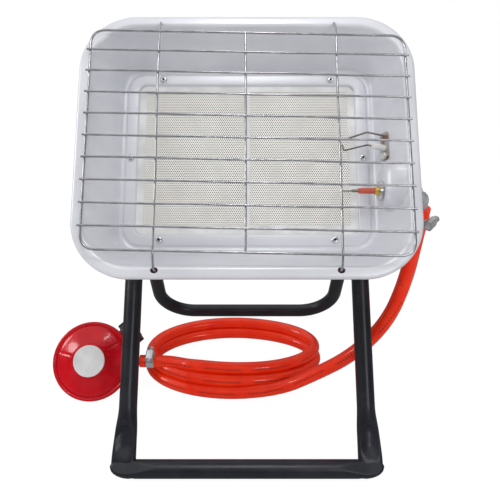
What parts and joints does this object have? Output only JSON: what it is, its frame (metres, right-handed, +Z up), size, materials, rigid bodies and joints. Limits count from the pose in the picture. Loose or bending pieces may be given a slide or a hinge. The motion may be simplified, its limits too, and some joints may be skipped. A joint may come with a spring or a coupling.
{
  "type": "portable propane heater",
  "caption": "Portable propane radiant heater: tilting burner head with wire guard on a folding tube stand, with hose coil and regulator.",
  "frame": {"origin": "on the floor, half-way between the two foot bars and half-way across the stand", "axes": "+Z up, -Y the way the heater faces, +X to the right seen from the front"},
  "size_m": [0.4131, 0.308, 0.411],
  "materials": {
    "frame_black": "semi-gloss black paint",
    "enamel_silver": "light silver-grey heat-proof paint",
    "guard_steel": "zinc plated wire",
    "burner_ceramic": "cream perforated ceramic, matte",
    "white_ceramic": "glazed insulator",
    "ceramic_fibre": "matte fibre packing",
    "burner_steel": "aluminised sheet",
    "bracket_steel": "zinc plated sheet",
    "fastener_steel": "zinc plated",
    "hot_steel": "heat-tinted wire",
    "brass": "turned",
    "yellow_ring": "turned, yellow",
    "copper_sleeve": "red-brown copper",
    "black_plastic": "moulded",
    "red_plastic": "moulded button",
    "hose_rubber": "orange-red, glossy",
    "lead_rubber": "silicone sleeve",
    "seal_rubber": "moulded",
    "regulator_red": "glossy red paint on die casting",
    "badge_grey": "plain disc",
    "spring_steel": "spring wire"
  },
  "bodies": {
    "stand": {"front_frame": "frame_black", "hose_coil": "hose_rubber", "hose_drop": "hose_rubber", "hose_tail": "hose_rubber", "inlet_seal": "seal_rubber", "inlet_stem": "brass", "pivot_bolt_left": "fastener_steel", "pivot_bolt_right": "fastener_steel", "pivot_washers_left": "fastener_steel", "pivot_washers_right": "fastener_steel", "regulator_badge": "badge_grey", "regulator_body": "regulator_red", "regulator_clamp": "fastener_steel", "regulator_clamp_screw": "fastener_steel", "regulator_cover": "regulator_red", "regulator_diaphragm": "seal_rubber", "regulator_outlet": "brass", "regulator_spring": "spring_steel"},
    "rear_stand": {"rear_frame": "frame_black"},
    "head": {"reflector_tray": "enamel_silver", "wire_guard": "guard_steel", "ceramic_plaque_left": "burner_ceramic", "ceramic_plaque_right": "burner_ceramic", "plaque_seal": "ceramic_fibre", "plaque_seat_frame": "burner_steel", "burner_box": "burner_steel", "mixing_tube": "burner_steel", "injector_bracket": "bracket_steel", "injector": "brass", "pipe_nuts": "brass", "gas_pipe": "copper_sleeve", "burner_screws": "fastener_steel", "control_plate": "bracket_steel", "gas_valve": "brass", "valve_lock_nut": "fastener_steel", "sensor_nut": "white_ceramic", "piezo_igniter": "black_plastic", "thermocouple": "hot_steel", "thermocouple_sleeve": "copper_sleeve", "thermocouple_collar": "yellow_ring", "electrode_ceramic": "white_ceramic", "electrode_wire": "hot_steel", "electrode_bracket": "bracket_steel", "electrode_screw": "fastener_steel", "earth_wire": "hot_steel", "ignition_lead": "lead_rubber", "inlet_nozzle": "fastener_steel", "tilt_bracket_left": "bracket_steel", "tilt_bracket_right": "bracket_steel", "valve_clamp": "fastener_steel", "valve_clamp_screw": "fastener_steel"},
    "valve_button": {"valve_push_button": "red_plastic"},
    "igniter_push": {"igniter_button": "red_plastic"},
    "knob_left": {"wing_knob_left": "black_plastic"},
    "knob_right": {"wing_knob_right": "black_plastic"},
    "cylinder_nut": {"cylinder_nut": "black_plastic"}
  },
  "joints": [
    {"name": "head_tilt", "type": "hinge", "parent": "stand", "child": "head", "pos_m": [0, 0.03414, 0.24673], "axis": [-1, 0, 0], "range_deg": [-25, 35], "deforming": ["hose_drop"]},
    {"name": "rear_fold", "type": "hinge", "parent": "stand", "child": "rear_stand", "pos_m": [0, 0.03414, 0.24673], "axis": [-1, 0, 0], "range_deg": [0, 20], "deforming": ["hose_coil"]},
    {"name": "knob_left_turn", "type": "hinge", "parent": "stand", "child": "knob_left", "pos_m": [-0.13, 0.03414, 0.24673], "axis": [-1, 0, 0], "continuous": true},
    {"name": "knob_right_turn", "type": "hinge", "parent": "stand", "child": "knob_right", "pos_m": [0.13, 0.03414, 0.24673], "axis": [1, 0, 0], "continuous": true},
    {"name": "valve_press", "type": "slide", "parent": "head", "child": "valve_button", "axis": [0, -0.8192, 0.5736], "range_m": [0, 0.004], "stiffness_N_per_m": 400, "springref_m": -0.002},
    {"name": "igniter_press", "type": "slide", "parent": "head", "child": "igniter_push", "axis": [0, -0.8192, 0.5736], "range_m": [0, 0.004], "stiffness_N_per_m": 600, "springref_m": -0.002},
    {"name": "cylinder_nut_turn", "type": "hinge", "parent": "stand", "child": "cylinder_nut", "pos_m": [-0.14708, 0.01849, 0.05341], "axis": [0.766, 0.393, 0.5086], "continuous": true}
  ]
}
